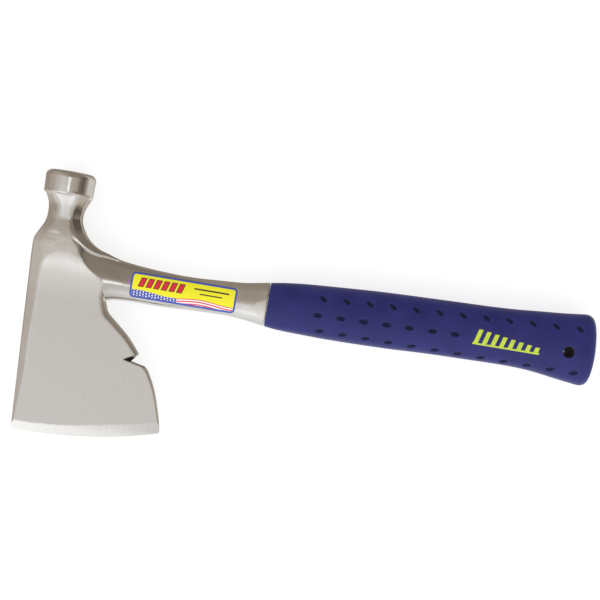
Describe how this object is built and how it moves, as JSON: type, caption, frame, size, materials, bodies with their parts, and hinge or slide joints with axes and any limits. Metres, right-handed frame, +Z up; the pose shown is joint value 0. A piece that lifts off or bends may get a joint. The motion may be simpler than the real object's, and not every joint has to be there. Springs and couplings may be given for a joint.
{
  "type": "roofing hatchet",
  "caption": "Short steel hatchet with a wide blade, a nail notch in the beard and a round hammer poll, forged in one piece with its shank, and a moulded blue grip.",
  "frame": {"origin": "bottom centre of the bounding box of the hatchet lying on its side", "axes": "+X along the handle from the head to the butt, +Y along the poll axis out of the striking face, +Z up through the thickness of the head; the labelled side faces up"},
  "size_m": [0.3328, 0.1536, 0.0294],
  "materials": {
    "polished_steel": "belt-ground cheeks with a fine grain, the rest polished",
    "grip_vinyl": "soft satin moulded vinyl with a fine texture",
    "label_print": "printed gloss vinyl",
    "mark_print": "satin printed ink"
  },
  "bodies": {
    "root": {"forged_steel": "polished_steel", "grip": "grip_vinyl", "shank_label": "label_print", "grip_mark_front": "mark_print", "grip_mark_back": "mark_print"}
  },
  "joints": []
}
